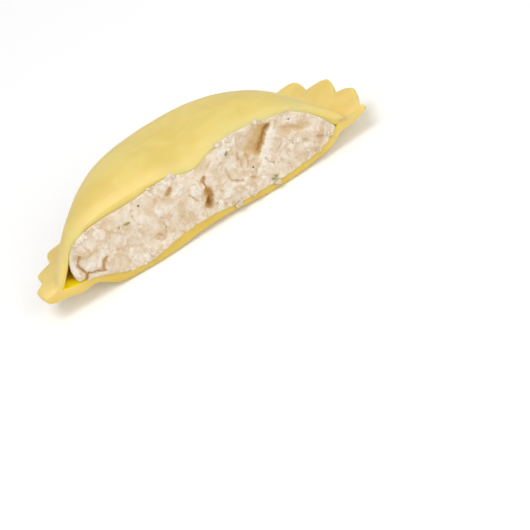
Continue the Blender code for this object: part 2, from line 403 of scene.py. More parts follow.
def linear(red, green, blue):
    """An sRGB colour given as 0 to 255, as the linear colour with alpha that a socket takes."""
    parts = np.array([red, green, blue]) / 255.0
    straight = np.where(parts <= 0.04045, parts / 12.92, ((parts + 0.055) / 1.055) ** 2.4)
    return (*straight.tolist(), 1.0)


def new_group(name, inputs, outputs):
    """An empty shader node group with named number and vector inputs and number outputs."""
    tree = bpy.data.node_groups.new(name, "ShaderNodeTree")
    for socket, kind, value in inputs:
        made = tree.interface.new_socket(socket, in_out="INPUT", socket_type=kind)
        if value is not None:
            made.default_value = value
    for socket in outputs:
        tree.interface.new_socket(socket, in_out="OUTPUT", socket_type="NodeSocketFloat")
    build = Nodes(tree)
    entry = tree.nodes.new("NodeGroupInput")
    leave = tree.nodes.new("NodeGroupOutput")
    return tree, build, entry, leave


def make_grain_group():
    """Height = fine noise + broader noise; Mottle = soft patches from 0 to 1."""
    tree, build, entry, leave = new_group(
        "food_grain",
        [
            ("Vector", "NodeSocketVector", None),
            ("Grain Size", "NodeSocketFloat", 0.35),
            ("Patch Size", "NodeSocketFloat", 6.0),
        ],
        ["Height", "Mottle"],
    )
    grain = build.math("DIVIDE", 1.0, entry.outputs["Grain Size"])
    patch = build.math("DIVIDE", 1.0, entry.outputs["Patch Size"])
    place_in = entry.outputs["Vector"]
    fine = build.add("ShaderNodeTexNoise", Vector=place_in, Scale=grain, Detail=3.0, Roughness=0.6).outputs[0]
    broad = build.math("MULTIPLY", grain, 0.22)
    broad = build.add("ShaderNodeTexNoise", Vector=place_in, Scale=broad, Detail=2.0).outputs[0]
    soft = build.add("ShaderNodeTexNoise", Vector=place_in, Scale=patch, Detail=2.0, Distortion=0.6).outputs[0]
    height = build.math("ADD", build.math("MULTIPLY", fine, 0.45), build.math("MULTIPLY", broad, 0.8))
    tree.links.new(height, leave.inputs["Height"])
    tree.links.new(build.span(soft, 0.32, 0.68), leave.inputs["Mottle"])
    return tree


def make_speck_group():
    """Mask = 1 in a small round spot in a few of the cells of a random pattern."""
    tree, build, entry, leave = new_group(
        "food_specks",
        [
            ("Vector", "NodeSocketVector", None),
            ("Spacing", "NodeSocketFloat", 1.6),
            ("Radius", "NodeSocketFloat", 0.1),
            ("Share", "NodeSocketFloat", 0.2),
        ],
        ["Mask"],
    )
    scale = build.math("DIVIDE", 1.0, entry.outputs["Spacing"])
    cells = build.add("ShaderNodeTexVoronoi", Vector=entry.outputs["Vector"], Scale=scale)
    reach = build.math("MULTIPLY", entry.outputs["Radius"], scale)
    near = build.math("DIVIDE", cells.outputs["Distance"], reach)
    spot = build.span(near, 0.6, 1.3, 1.0, 0.0)
    pick = build.add("ShaderNodeSeparateColor", Color=cells.outputs["Color"]).outputs[0]
    chosen = build.math("LESS_THAN", pick, entry.outputs["Share"])
    tree.links.new(build.math("MULTIPLY", spot, chosen), leave.inputs["Mask"])
    return tree


GRAIN = make_grain_group()
SPECKS = make_speck_group()


def start_material(name):
    """A node material with its tree empty, and Object coordinates turned into millimetres."""
    material = bpy.data.materials.new(name)
    material.use_nodes = True
    build = Nodes(material.node_tree)
    where = build.add("ShaderNodeTexCoord").outputs["Object"]
    in_mm = build.add("ShaderNodeMapping", Vector=where, Scale=(1000.0, 1000.0, 1000.0)).outputs[0]
    return material, build, in_mm


def finish_material(build, shader):
    build.add("ShaderNodeOutputMaterial", Surface=shader.outputs[0])


print("groups:", [tree.name for tree in (GRAIN, SPECKS)])


# %% Egg dough
def make_dough():
    """Yellow dough: two yellows by patches, flour where the dust share is, and specks; also a paler yellow as a painted
    highlight along the ridge at the cut, a deeper yellow as painted shade on the lower band, and a saturated yellow as
    a painted glow inside the pocket.
    """
    material, build, in_mm = start_material("egg_dough")
    grain = build.add("ShaderNodeGroup", {"node_tree": GRAIN}, Vector=in_mm, Grain_Size=0.42, Patch_Size=7.0)
    cut = build.add("ShaderNodeAttribute", {"attribute_name": "cut"}).outputs["Fac"]
    dust = build.add("ShaderNodeAttribute", {"attribute_name": "dust"}).outputs["Fac"]
    deep_shade = build.add("ShaderNodeAttribute", {"attribute_name": "deep_shade"}).outputs["Fac"]
    inside = build.add("ShaderNodeAttribute", {"attribute_name": "inside"}).outputs["Fac"]
    yellow = build.mix(grain.outputs["Mottle"], linear(234, 205, 112), linear(241, 214, 126))
    # Painted highlight: paler yellow along the ridge where the top sheet rounds over to the cut, weaker on the cut
    # dough.
    yellow = build.mix(cut, yellow, linear(247, 217, 136))
    # Painted shade: deeper yellow on the lower sheet's band near the cut.
    yellow = build.mix(deep_shade, yellow, linear(233, 199, 96))
    # Painted glow: saturated yellow inside the pocket, standing in for light through the sheets.
    yellow = build.mix(inside, yellow, linear(255, 226, 14))
    flour = build.add("ShaderNodeTexNoise", Vector=in_mm, Scale=1.1, Detail=4.0, Roughness=0.6).outputs[0]
    flour = build.math("MULTIPLY", build.span(flour, 0.42, 0.80), dust)
    yellow = build.mix(flour, yellow, linear(246, 236, 205))
    pale = build.add("ShaderNodeGroup", {"node_tree": SPECKS}, Vector=in_mm, Spacing=1.9, Radius=0.11, Share=0.22)
    yellow = build.mix(build.math("MULTIPLY", pale.outputs[0], 0.45), yellow, linear(250, 240, 196))
    dark = build.add("ShaderNodeGroup", {"node_tree": SPECKS}, Vector=in_mm, Spacing=2.7, Radius=0.1, Share=0.12)
    yellow = build.mix(build.math("MULTIPLY", dark.outputs[0], 0.35), yellow, linear(196, 158, 72))
    bump = build.add("ShaderNodeBump", Height=grain.outputs["Height"], Strength=0.35, Distance=0.00012)
    rough = build.span(grain.outputs["Mottle"], 0.0, 1.0, 0.46, 0.56)
    shader = build.add(
        "ShaderNodeBsdfPrincipled",
        Base_Color=yellow,
        Roughness=build.math("ADD", rough, build.math("MULTIPLY", flour, 0.25)),
        Normal=bump.outputs[0],
        Subsurface_Weight=0.6,
        Subsurface_Radius=(1.0, 0.7, 0.15),
        Subsurface_Scale=0.0022,
        Specular_IOR_Level=0.35,
    )
    finish_material(build, shader)
    return material


DOUGH = make_dough()
print("made", DOUGH.name)


# %% Ricotta
def make_ricotta():
    """Cream on the curds, with painted shade in the hollows, tan and then brown, as the hollow share held by the mesh
    says, and painted light and shade by the crest share: paler on raised curds, darker on low ones.
    """
    material, build, in_mm = start_material("ricotta")
    grain = build.add("ShaderNodeGroup", {"node_tree": GRAIN}, Vector=in_mm, Grain_Size=0.3, Patch_Size=2.6)
    hollow_shade = build.add("ShaderNodeAttribute", {"attribute_name": "hollow_shade"}).outputs["Fac"]
    crest_shading_and_streaks = build.add("ShaderNodeAttribute", {"attribute_name": "crest_shading_and_streaks"}).outputs["Fac"]
    cream = build.mix(grain.outputs["Mottle"], linear(226, 203, 170), linear(242, 227, 207))
    # Painted highlight on raised curds, and painted shade on low ones, from the crest share.
    cream = build.mix(build.span(crest_shading_and_streaks, 0.5, 0.85), cream, linear(247, 237, 222))
    cream = build.mix(build.span(crest_shading_and_streaks, 0.45, 0.1), cream, linear(224, 196, 156))
    # Painted shade in the hollows: tan, then brown where deepest.
    hollow_tan_shade = build.mix(build.span(hollow_shade, 0.08, 0.45), cream, linear(216, 182, 126))
    deep_shade = build.mix(build.span(hollow_shade, 0.45, 1.0), hollow_tan_shade, linear(192, 146, 66))
    bump = build.add("ShaderNodeBump", Height=grain.outputs["Height"], Strength=0.45, Distance=0.00022)
    shader = build.add(
        "ShaderNodeBsdfPrincipled",
        Base_Color=deep_shade,
        Roughness=build.span(grain.outputs["Mottle"], 0.0, 1.0, 0.5, 0.62),
        Normal=bump.outputs[0],
        Subsurface_Weight=0.2,
        Subsurface_Radius=(1.0, 0.8, 0.55),
        Subsurface_Scale=0.0006,
        Specular_IOR_Level=0.35,
    )
    finish_material(build, shader)
    return material


RICOTTA = make_ricotta()
print("made", RICOTTA.name)


# %% Herbs and pepper
def make_fleck_material(name, first, second, roughness):
    """A plain fleck: two colours in small patches."""
    material, build, in_mm = start_material(name)
    grain = build.add("ShaderNodeGroup", {"node_tree": GRAIN}, Vector=in_mm, Grain_Size=0.2, Patch_Size=0.5)
    colour = build.mix(grain.outputs["Mottle"], first, second)
    bump = build.add("ShaderNodeBump", Height=grain.outputs["Height"], Strength=0.5, Distance=0.0001)
    shader = build.add(
        "ShaderNodeBsdfPrincipled", Base_Color=colour, Roughness=roughness, Normal=bump.outputs[0]
    )
    finish_material(build, shader)
    return material


HERB = make_fleck_material("herb_green", linear(134, 138, 56), linear(176, 174, 98), 0.5)
PEPPER = make_fleck_material("pepper_dark", linear(74, 58, 40), linear(120, 96, 66), 0.6)
print("made", HERB.name, "and", PEPPER.name)

# %% [markdown]
# ## The pasta
# On the real piece the two sheets are one on the rim, so one closed surface stands for both. It is three
# patches that share their borders. The outer patch starts at the cut, runs back over the dome to the rim, round
# the rim's edge and forward again underneath. The inner patch does the same inside the pocket: back along its
# ceiling to where the sheets meet, and forward along its floor. The third is the ring of cut dough between
# their two borders. Each patch is a function of two parameters: how far across the piece a point is, and how
# far along that way. Columns fan out, so that the outermost rows can follow every tooth.


# %% Plan of the half circle
def plan(across, back, foot, edge):
    """x and y of a point. Its bearing runs with across; rows 0 to 1 go from the cut to the foot, and rows 1
    to 2 from the foot to the edge. Inside, x = start + (foot - start) * back^1.5 and y = foot * back."""
    phase = tooth_phase(math.pi) + (tooth_phase(0.0) - tooth_phase(math.pi)) * across
    bearing = np.radians(np.interp(phase, range(len(TIP_BEARINGS)), TIP_BEARINGS))
    bearing = np.clip(bearing, 0.0, math.pi)
    inner = foot(bearing)
    start = PLAN_CORNER * (2.0 * across - 1.0) * np.where(across > 0.5, foot(0.0), foot(math.pi))
    inside = np.minimum(back, 1.0)
    outside = np.maximum(back - 1.0, 0.0)
    x = start + (inner * np.cos(bearing) - start) * inside**1.5
    y = inner * np.sin(bearing) * inside
    rim = inner + (edge(bearing) - inner) * outside
    x = np.where(back > 1.0, rim * np.cos(bearing), x)
    y = np.where(back > 1.0, rim * np.sin(bearing), y)
    return x, np.maximum(y, 0.0), bearing


COLUMNS = 330
EDGE_ROUND = 0.62  # radius of the rim's two soft edges
TOP_LIP, UNDER_LIP = 1.9, 0.55  # how far behind the cut the outer sides begin to round over

near_rows = [0.0, 0.004, 0.009, 0.015, 0.022, 0.031, 0.042, 0.056]
dome_rows = np.concatenate([near_rows, np.linspace(0.0, 1.0, 36)[3:] ** 1.05])
rim_rows = 1.0 + np.linspace(0.0, 1.0, 17)[1:]
turn = np.linspace(0.0, 90.0, 5)[1:]
across = np.linspace(0.0, 1.0, COLUMNS)


def lip(x, y, reach):
    """How far a soft edge draws in at the cut: half of a quarter circle, which ends sloping at 45 degrees.
    It is smaller on the thin rim."""
    reach = reach * (1.0 - 0.62 * np.clip((np.abs(x) - 28.0) / 3.5, 0.0, 1.0))
    inside = 0.7 * np.clip(1.0 - y / reach, 0.0, 1.0)
    return reach / 0.7 * (1.0 - np.sqrt(1.0 - inside**2))


def outer_patch():
    """Rows over the top to the rim, round its edge, and back underneath; all columns at once."""
    inset_edge = lambda bearing: outline_radius(bearing) - EDGE_ROUND
    parts = []
    top_rows = np.concatenate([dome_rows, rim_rows])
    u, v = np.meshgrid(across, top_rows, indexing="ij")
    x, y, _ = plan(u, v, foot_radius, inset_edge)
    parts.append((x, y, upper_side(x, y) - lip(x, y, TOP_LIP)))

    bearing = plan(across, np.full(COLUMNS, 2.0), foot_radius, inset_edge)[2][:, None]
    reach = outline_radius(bearing)
    high = rim_top(reach - EDGE_ROUND, bearing)
    low = under_side((reach - EDGE_ROUND) * np.cos(bearing), (reach - EDGE_ROUND) * np.sin(bearing))
    for angle, level in (
        (turn, high - EDGE_ROUND + EDGE_ROUND * np.cos(np.radians(turn))),
        (90.0 - turn, low + EDGE_ROUND - EDGE_ROUND * np.sin(np.radians(turn))),
    ):
        radius = reach - EDGE_ROUND + EDGE_ROUND * np.sin(np.radians(angle))
        y = np.maximum(radius * np.sin(bearing), 0.0)
        x = radius * np.cos(bearing)
        drawn_in = -lip(x, y, TOP_LIP) if angle is turn else lip(x, y, UNDER_LIP)
        parts.append((radius * np.cos(bearing), y, level + drawn_in))

    u, v = np.meshgrid(across, top_rows[::-1][1:], indexing="ij")
    x, y, _ = plan(u, v, foot_radius, inset_edge)
    parts.append((x, y, under_side(x, y) + lip(x, y, UNDER_LIP)))
    return [np.concatenate([part[axis] for part in parts], axis=1) for axis in range(3)]


outer = outer_patch()
ROWS = outer[0].shape[1]
print("outer patch:", outer[0].shape)


def inner_patch():
    """The pocket's ceiling from the cut to where the sheets meet, then its floor back to the cut."""
    half = (ROWS + 1) // 2
    rows = np.linspace(0.0, 1.0, half) ** 1.25
    u, v = np.meshgrid(across, rows, indexing="ij")
    x, y, _ = plan_inside(u, v)
    middle, open_height = pocket(x, y)
    open_height = np.maximum(open_height, 0.0) * (v < 1.0)
    ceiling = middle + open_height
    floor = (middle - open_height)[:, ::-1][:, 1:]
    join = lambda first, second: np.concatenate([first, second], axis=1)[:, :ROWS]
    return [join(x, x[:, ::-1][:, 1:]), join(y, y[:, ::-1][:, 1:]), join(ceiling, floor)]


def plan_inside(u, v):
    """The same plan as the outside's, but ending where the sheets meet."""
    table = meeting_radius(bearings[::20])
    meet = lambda bearing: np.interp(bearing, bearings[::20], table)
    return plan(u, v, meet, meet)


inner = inner_patch()
print("inner patch:", inner[0].shape)


# %% The ring of cut dough
def ring_of(patch):
    """The border of a patch that lies on the cut, once round, and its vertex numbers in the patch."""
    number = np.arange(COLUMNS * ROWS).reshape(COLUMNS, ROWS)
    order = np.concatenate([number[:, 0], number[-1, 1:], number[-2::-1, -1], number[0, -2:0:-1]])
    return [axis.reshape(-1)[order] for axis in patch], order


BULGE = 0.22  # how far the cut dough stands out between its two soft edges
STEPS = np.array([0.06, 0.14, 0.25, 0.38, 0.52, 0.66, 0.80, 0.92])[None, :]

outer_ring, outer_order = ring_of(outer)
inner_ring, inner_order = ring_of(inner)
ring_x, ring_z = (a[:, None] + (b - a)[:, None] * STEPS for a, b in ((outer_ring[0], inner_ring[0]), (outer_ring[2], inner_ring[2])))
face_wear = 0.10 * layered_noise(ring_x / 2.2, ring_z / 2.2, layers=3, seed=21)
ring_y = -BULGE * np.sin(math.pi * STEPS**0.8) ** 0.9 * (1.0 + face_wear)


def knife_wander(x, y, z):
    """The knife didn't run quite straight: a slow wave in y that dies away behind the cut."""
    return 0.22 * layered_noise(x / 11.0, z / 9.0, layers=2, seed=31) * bell(y, 3.5)


def make_pasta():
    """Joins the three patches, with the ring's first and last column borrowed from the other two."""
    count = COLUMNS * ROWS
    number = np.arange(count).reshape(COLUMNS, ROWS)
    length = len(outer_order)
    ring_number = 2 * count + np.arange(length * STEPS.size).reshape(length, STEPS.size)
    ring_number = np.concatenate([outer_order[:, None], ring_number, count + inner_order[:, None]], axis=1)
    ring_number = np.concatenate([ring_number, ring_number[:1]])
    faces = np.concatenate([grid_faces(number), grid_faces(count + number), grid_faces(ring_number)])
    x, y, z = (
        np.concatenate([first.ravel(), second.ravel(), third.ravel()])
        for first, second, third in zip(outer, inner, (ring_x, ring_y, ring_z))
    )
    y = y + knife_wander(x, y, z)
    radius = np.hypot(x, y)
    # Share of a painted highlight: paler along the ridge where the outer surface rounds over to the cut, 0.4 as strong
    # on the pocket and the cut dough.
    cut = bell(np.maximum(y - 0.8, 0.0), 1.6)
    cut = cut * np.where(np.arange(x.size) < count, 1.0, 0.4)
    # Share of painted shade: below the pocket's middle height near the cut, where the lower band lies in shade; less
    # towards the ends.
    middle = pocket(x, np.maximum(y, 0.0))[0]
    deep_shade = np.clip((middle - z) / 1.2 + 0.2, 0.0, 1.0) * bell(y, 2.5)
    deep_shade = deep_shade * (1.0 - 0.75 * np.clip((np.abs(x) - 22.0) / 5.0, 0.0, 1.0))
    # Share of a painted glow: the whole inner patch, whose saturated yellow stands in for light through the sheets.
    inside = np.where((np.arange(x.size) >= count) & (np.arange(x.size) < 2 * count), 1.0, 0.0)
    bearing = np.arctan2(np.abs(y), x)
    dust = bell(radius - foot_radius(bearing) + 0.5, 2.6) * (0.35 + 0.65 * (noise(x / 6, y / 6, seed=41) > 0))
    dust = np.where(np.arange(x.size) < count, dust * (1.0 - bell(angles(bearing)[0], 28.0)), 0.0)
    return make_piece("pasta", place(x, y, z), faces, DOUGH, {"cut": cut, "deep_shade": deep_shade, "inside": inside, "dust": dust})


pasta = make_pasta()
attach(pasta, "root")
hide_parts("top_sheet", "bottom_sheet")

# %% [markdown]
# ## The filling
# Ricotta breaks rather than cuts. Its face is a field of curds, small lumps on larger ones, smeared a little
# by the knife and torn open in places. The mesh is one closed surface again: columns run across the piece, and
# each is a loop up the cut face, back over the mound and forward along its underside. On the cut face the
# curds push points in and out. The tears are a short table of strokes, each a valley along a line.

# %% Tears in the cut face: start x, z, end x, z, width, depth
TEARS = (
    (1.9, 10.6, 1.6, 7.6, 0.32, 0.9),
    (1.6, 8.0, 1.2, 5.6, 0.75, 1.5),
    (1.1, 5.8, 0.8, 5.0, 0.70, 1.9),
    (-24.7, 9.9, -25.8, 8.2, 0.35, 0.7),
    (-25.8, 8.2, -25.0, 6.3, 0.35, 0.8),
    (-27.6, 4.9, -24.6, 5.9, 0.34, 1.0),
    (-24.6, 5.9, -21.9, 5.0, 0.30, 0.8),
    (-22.3, 5.5, -20.4, 7.1, 0.38, 0.8),
    (-4.6, 11.7, -4.0, 12.3, 0.55, 0.9),
    (-8.3, 8.2, -8.3, 6.3, 0.22, 0.4),
    (-10.5, 5.2, -9.9, 5.0, 0.35, 0.5),
    (-1.3, 9.1, -0.8, 7.2, 0.22, 0.5),
    (6.4, 9.4, 6.7, 6.8, 0.28, 0.5),
    (6.7, 6.8, 7.9, 5.7, 0.28, 0.5),
    (9.7, 11.2, 9.2, 8.0, 0.28, 0.5),
    (11.1, 9.9, 10.3, 7.8, 0.26, 0.5),
    (10.0, 5.6, 10.6, 4.9, 0.35, 0.5),
    (13.9, 7.4, 14.5, 5.5, 0.28, 0.5),
    (20.0, 10.2, 23.4, 8.4, 0.85, 0.5),
    (21.7, 6.2, 22.1, 5.9, 0.40, 0.6),
    (24.0, 5.2, 24.5, 4.8, 0.45, 0.6),
)
LEDGE = (17.0, 12.3, 12.7, 8.3, 2.4, 1.5)  # a slab that stands proud: its top edge, and how far it shades back


# Soft streaks, paler or darker, added to the crest share: the same strokes, with how much paler in place of a depth.
# The first runs along the slab's top edge as its painted highlight.
STREAKS = (
    (17.5, 11.7, 13.3, 7.8, 0.60, 0.45),
    (25.9, 4.3, 26.5, 4.2, 0.70, 0.40),
    (19.4, 7.4, 20.0, 7.3, 0.80, 0.35),
    (-26.8, 7.4, -26.3, 9.6, 0.60, 0.35),
    (-22.5, 6.5, -20.3, 9.3, 0.45, 0.35),
    (-24.6, 8.0, -23.0, 7.6, 0.60, 0.30),
    (-7.6, 14.0, -2.6, 14.2, 0.60, 0.30),
    (-3.6, 11.2, -1.6, 11.0, 0.90, 0.25),
    (2.6, 4.4, 5.4, 5.0, 0.80, 0.30),
    (8.2, 3.6, 8.7, 2.4, 0.55, 0.35),
    (14.6, 1.8, 12.8, 2.0, 0.60, 0.35),
    (-17.5, 3.2, -13.0, 3.0, 1.00, 0.25),
    (7.2, 13.6, 8.6, 14.4, 1.10, 0.25),
    (15.4, 14.0, 15.8, 13.2, 0.50, 0.35),
    (11.3, 6.6, 12.0, 3.6, 0.60, 0.20),
    (-24.4, 10.1, -21.6, 9.9, 0.90, -0.40),
    (19.9, 10.0, 22.6, 9.2, 0.90, -0.40),
    (24.0, 4.9, 25.2, 5.6, 0.60, -0.45),
    (-17.8, 11.4, -14.5, 10.8, 0.90, -0.30),
    (-10.6, 5.3, -8.2, 5.7, 0.50, -0.40),
    (-3.2, 5.1, -2.2, 5.5, 0.90, -0.30),
    (-7.0, 11.8, -5.0, 12.2, 0.80, -0.30),
    (23.0, 11.2, 23.6, 11.0, 0.50, -0.35),
    (3.8, 12.6, 4.6, 13.0, 0.60, -0.30),
    (10.5, 9.5, 13.0, 11.0, 0.90, -0.35),
)


def valley(x, z, start_x, start_z, end_x, end_z, width, depth):
    """Depth times a bell of the distance to a line from start to end."""
    run_x, run_z = end_x - start_x, end_z - start_z
    along = np.clip(((x - start_x) * run_x + (z - start_z) * run_z) / (run_x**2 + run_z**2), 0.0, 1.0)
    distance = np.hypot(x - start_x - along * run_x, z - start_z - along * run_z)
    return depth * bell(distance, width)


def ledge(x, z):
    """Above the slab's edge the face falls away sharply and comes back slowly."""
    start_x, start_z, end_x, end_z, reach, depth = LEDGE
    run = math.hypot(end_x - start_x, end_z - start_z)
    along = ((x - start_x) * (end_x - start_x) + (z - start_z) * (end_z - start_z)) / run**2
    above = ((end_x - start_x) * (z - start_z) - (end_z - start_z) * (x - start_x)) / -run
    step = np.where(above > 0, np.exp(-above / reach), bell(above, 0.22))
    return depth * step * bell(np.maximum(np.abs(along - 0.4) - 0.35, 0.0), 0.22)


def tears(x, z):
    """All strokes together, their lines made ragged by noise."""
    ragged_x = x + 0.30 * layered_noise(x / 1.3, z / 1.3, layers=3, seed=51)
    ragged_z = z + 0.30 * layered_noise(x / 1.3, z / 1.3, layers=3, seed=54)
    total = ledge(ragged_x, ragged_z)
    for stroke in TEARS:
        total = np.maximum(total, valley(ragged_x, ragged_z, *stroke))
    return total


RELIEF = 0.62  # all the lumps together are scaled by this


def curds(x, z):
    """Lumps on lumps on a slow swell, drawn out along the way that the knife smeared them."""
    warp_x = x + 0.6 * layered_noise(x / 3.0, z / 3.0, layers=3, seed=61)
    warp_z = z + 0.6 * layered_noise(x / 3.0, z / 3.0, layers=3, seed=64)
    lean = math.radians(22.0)
    side = warp_x * math.cos(lean) - warp_z * math.sin(lean)
    rise = warp_x * math.sin(lean) + warp_z * math.cos(lean)
    total = 0.40 * layered_noise(x / 5.5, z / 5.0, layers=2, seed=67)
    for size, height, stretch, seed in ((3.6, 0.70, 1.6, 71), (1.8, 0.42, 1.3, 74), (0.9, 0.27, 1.1, 77), (0.5, 0.13, 1.0, 79)):
        lump, owner = lumps(side / size, rise / (size * stretch), seed)
        total = total + height * (lump**0.8 * (0.35 + 0.65 * owner) - 0.3)
    creased = np.abs(layered_noise(side / 0.9, rise / 1.3, layers=2, seed=81))
    return RELIEF * (total + 0.10 * (creased - 0.3))


def blurred(grid, passes):
    """Each number of a grid averaged with its four neighbours, again and again."""
    for _ in range(passes):
        wide = np.pad(grid, 1, mode="edge")
        grid = 0.2 * (grid + wide[2:, 1:-1] + wide[:-2, 1:-1] + wide[1:-1, 2:] + wide[1:-1, :-2])
    return grid


# %% Mound
FACE_COLUMNS = 510
FACE_ROWS = 130
BACK_ROWS = 24
LEFT_REACH, RIGHT_REACH = -27.4, 27.8
MOUND_RADIUS = 27.4  # towards the back

spread = 0.5 - 0.5 * np.cos(np.linspace(0.0, math.pi, FACE_COLUMNS))
spread = 0.35 * spread + 0.65 * np.linspace(0.0, 1.0, FACE_COLUMNS)
mound_x = (LEFT_REACH + (RIGHT_REACH - LEFT_REACH) * spread)[1:-1, None]


def mound_depth(x):
    """How far back the mound reaches behind each x: an ellipse between its two ends."""
    middle, half = 0.5 * (LEFT_REACH + RIGHT_REACH), 0.5 * (RIGHT_REACH - LEFT_REACH)
    return MOUND_RADIUS * np.sqrt(np.maximum(1.0 - ((x - middle) / half) ** 2, 0.0))


def mound_section(x, back):
    """Top and bottom of the mound: the pocket's own sides, closing over the last stretch of its way out."""
    y = mound_depth(x) * back
    middle, half = pocket(x, y)
    end_share = np.abs(2.0 * (x - LEFT_REACH) / (RIGHT_REACH - LEFT_REACH) - 1.0)
    close = np.sqrt(np.maximum(1.0 - end_share ** np.where(x < 0, 60.0, 70.0), 0.0)) * np.sqrt(1.0 - back**8)
    half = np.maximum(half, 0.0) + 0.06 + 0.16 * bell(back, 0.02)
    return y, middle + half * close, middle - half * close


def make_filling():
    """Loops of points: up the cut face, back over the top, forward underneath; a single point at each end."""
    _, top, bottom = mound_section(mound_x, 0.0)
    rise = np.linspace(0.0, 1.0, FACE_ROWS)[None, :]
    face_z = bottom + (top - bottom) * rise
    face_x = np.broadcast_to(mound_x, face_z.shape)
    edge = np.minimum(np.minimum(top - face_z, face_z - bottom), np.minimum(face_x - LEFT_REACH, RIGHT_REACH - face_x))
    held = 1.0 - 0.75 * np.exp(-np.maximum(edge, 0.0) / 0.5)
    low = bell(np.maximum(face_z - bottom, 0.0), 2.2)
    torn = tears(face_x, face_z)
    relief = curds(face_x, face_z)
    face_y = -(relief + 0.15 - 0.25 * low) * held + torn * (0.25 + 0.75 * held)
    ends = np.clip(np.minimum(face_x - LEFT_REACH, RIGHT_REACH - face_x) / 2.5, 0.0, 1.0)
    face_y = face_y - (0.2 - 0.12 * low) * ends
    # Share of painted shade: deepest in the tears, and in curds that lie low.
    hollow_shade = np.clip(0.54 * torn + np.clip(-relief - 0.15, 0.0, 1.0) * 0.5, 0.0, 1.0)
    # Painted light and shade: the streaks, and how far each curd stands above its surroundings, make raised curds paler
    # and low ones darker.
    paler = sum(valley(face_x, face_z, *stroke) for stroke in STREAKS)
    crest_shading_and_streaks = np.clip(0.5 + paler + 1.9 * (relief - blurred(relief, 30)) + 1.0 * (relief - blurred(relief, 300)), 0.0, 1.0)

    back = (np.linspace(0.0, 1.0, BACK_ROWS + 1)[1:-1] ** 0.9)[None, :]
    y, over, under = mound_section(mound_x, back)
    shell_x = np.broadcast_to(mound_x, y.shape)
    x = np.concatenate([face_x, shell_x, mound_x, shell_x[:, ::-1]], axis=1)
    rear, rear_z, _ = mound_section(mound_x, 1.0)
    y = np.concatenate([face_y, y, rear, y[:, ::-1]], axis=1)
    z = np.concatenate([face_z, over, rear_z, under[:, ::-1]], axis=1)
    rest = np.zeros((len(mound_x), 2 * over.shape[1] + 1))
    shade = np.concatenate([hollow_shade, rest], axis=1)
    crest_shading_and_streaks = np.concatenate([crest_shading_and_streaks, rest + 0.5], axis=1)

    loop = x.shape[1]
    number = 1 + np.arange(x.size).reshape(x.shape)
    closed = np.concatenate([number, number[:, :1]], axis=1)
    first, last = 0, x.size + 1
    fans = [
        np.stack([np.full(loop, pole), line[:-1], line[1:]], axis=1)
        for pole, line in ((first, closed[0]), (last, closed[-1]))
    ]
    ends_x = np.array([LEFT_REACH, RIGHT_REACH])
    ends_z = pocket(ends_x, np.zeros(2))[0]
    x = np.concatenate([ends_x[:1], x.ravel(), ends_x[1:]])
    y = np.concatenate([[0.0], y.ravel(), [0.0]])
    z = np.concatenate([ends_z[:1], z.ravel(), ends_z[1:]])
    y = y + knife_wander(x, np.maximum(y, 0.0), z)
    shade = np.concatenate([[0.0], shade.ravel(), [0.0]])
    crest_shading_and_streaks = np.concatenate([[0.5], crest_shading_and_streaks.ravel(), [0.5]])
    faces = grid_faces(closed).tolist() + fans[0].tolist() + fans[1].tolist()
    return make_piece("ricotta_filling", place(x, y, z), faces, RICOTTA, {"hollow_shade": shade, "crest_shading_and_streaks": crest_shading_and_streaks})


filling = make_filling()
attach(filling, "root")
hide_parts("filling")

# %% [markdown]
# ## Crumbs, herbs and pepper
# Small loose things are what tells a real cut face from a carved one. The crumbs are a few hundred dented
# balls of a few dozen faces each, half sunk in the face; each kind of small thing is one joined mesh.


# %% Scattering
def ball():
    """The points and faces of a ball of 80 triangles."""
    work = bmesh.new()
    bmesh.ops.create_icosphere(work, subdivisions=2, radius=1.0)
    points = np.array([vertex.co for vertex in work.verts])
    faces = np.array([[vertex.index for vertex in face.verts] for face in work.faces])
    work.free()
    return points, faces


BALL_POINTS, BALL_FACES = ball()


def random_turns(rng, count):
    """Random rotations: the Q of a QR split of random 3 by 3 matrices, with their handedness put right."""
    turns, _ = np.linalg.qr(rng.normal(size=(count, 3, 3)))
    turns[:, :, 0] *= np.sign(np.linalg.det(turns))[:, None]
    return turns


def scattered(middles, sizes, flatness, rough, seed):
    """One dented ball at each middle, as joined points and faces; sizes are radii in millimetres."""
    rng = np.random.default_rng(seed)
    count = len(middles)
    stretch = 1.0 + flatness * rng.uniform(-1.0, 1.0, size=(count, 1, 3))
    dents = np.stack([noise(*(BALL_POINTS.T * 1.3 + 5.0 * index), seed=seed) for index in range(count)])
    points = BALL_POINTS[None] * (1.0 + rough * dents[:, :, None]) * stretch * sizes[:, None, None]
    points = np.einsum("nij,npj->npi", random_turns(rng, count), points) + middles[:, None, :]
    faces = BALL_FACES[None] + (len(BALL_POINTS) * np.arange(count))[:, None, None]
    return points.reshape(-1, 3), faces.reshape(-1, 3)


def on_face(x, z):
    """The y of the filling's cut face at x, z."""
    return -(curds(x, z) + 0.35) + tears(x, z) + knife_wander(x, np.zeros_like(x), z)


def scatter_crumbs():
    rng = np.random.default_rng(7)
    x = rng.uniform(-26.0, 27.0, 220)
    middle, half = pocket(x, np.zeros_like(x))
    z = middle + half * rng.uniform(-0.97, 0.97, x.size)
    keep = tears(x, z) < 0.4
    x, z = x[keep], z[keep]
    sizes = rng.uniform(0.10, 0.24, x.size)
    for middle_x, middle_z, spread_x, spread_z, count, size in CLUSTERS:
        x = np.append(x, middle_x + spread_x * rng.normal(size=count))
        z = np.append(z, middle_z + spread_z * rng.normal(size=count))
        sizes = np.append(sizes, size * rng.uniform(0.5, 1.0, count))
    y = np.minimum(on_face(x, z), 0.0) + 0.45 * sizes
    return scattered(np.stack([x, y, z], axis=1), sizes, 0.40, 0.50, 8)


